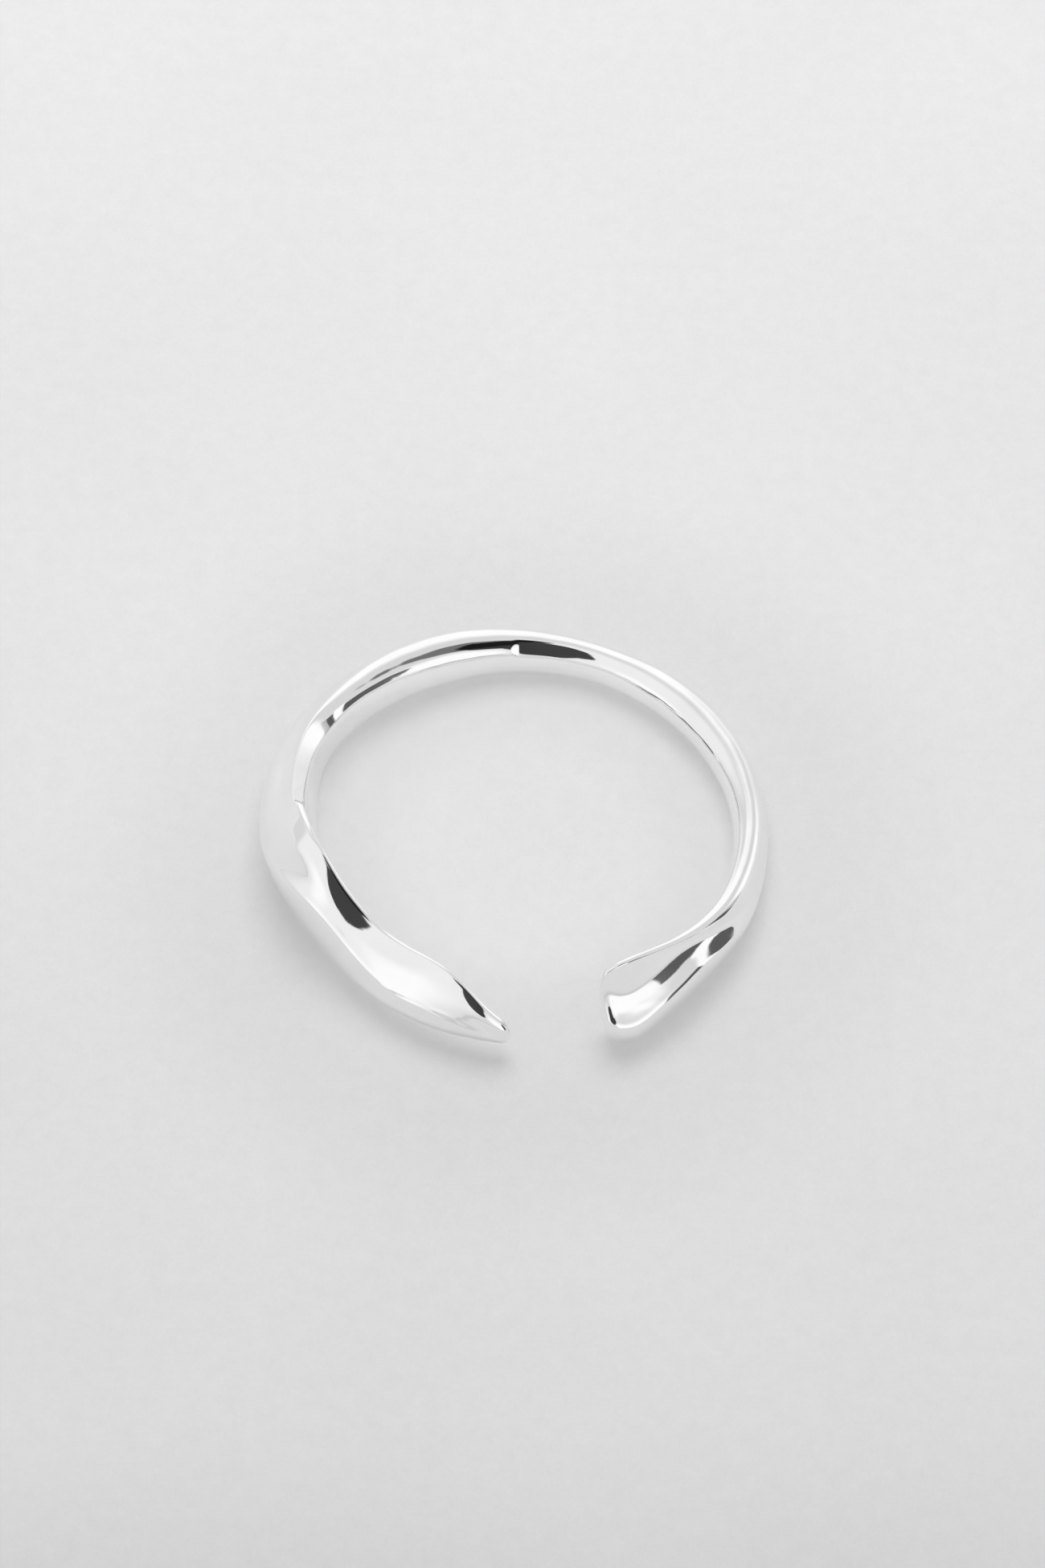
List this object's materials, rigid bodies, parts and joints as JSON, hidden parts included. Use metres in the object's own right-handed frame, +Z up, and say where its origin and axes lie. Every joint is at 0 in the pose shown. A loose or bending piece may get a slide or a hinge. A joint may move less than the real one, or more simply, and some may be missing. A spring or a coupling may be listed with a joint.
{
  "type": "open finger ring with a folded leaf",
  "caption": "Open silver ring lying on its side, with a plain wire at the back, a folded leaf at one end and a short flared spade at the other.",
  "frame": {"origin": "centre of the finger hole, on the surface that the ring lies on", "axes": "+X towards the flared spade's side, +Y away from the gap between the tips, +Z up along the finger hole's axis"},
  "size_m": [0.0203, 0.0192, 0.0049],
  "materials": {
    "silver": "polished sterling silver with light wear"
  },
  "bodies": {
    "root": {"ring_band": "silver"}
  },
  "joints": []
}
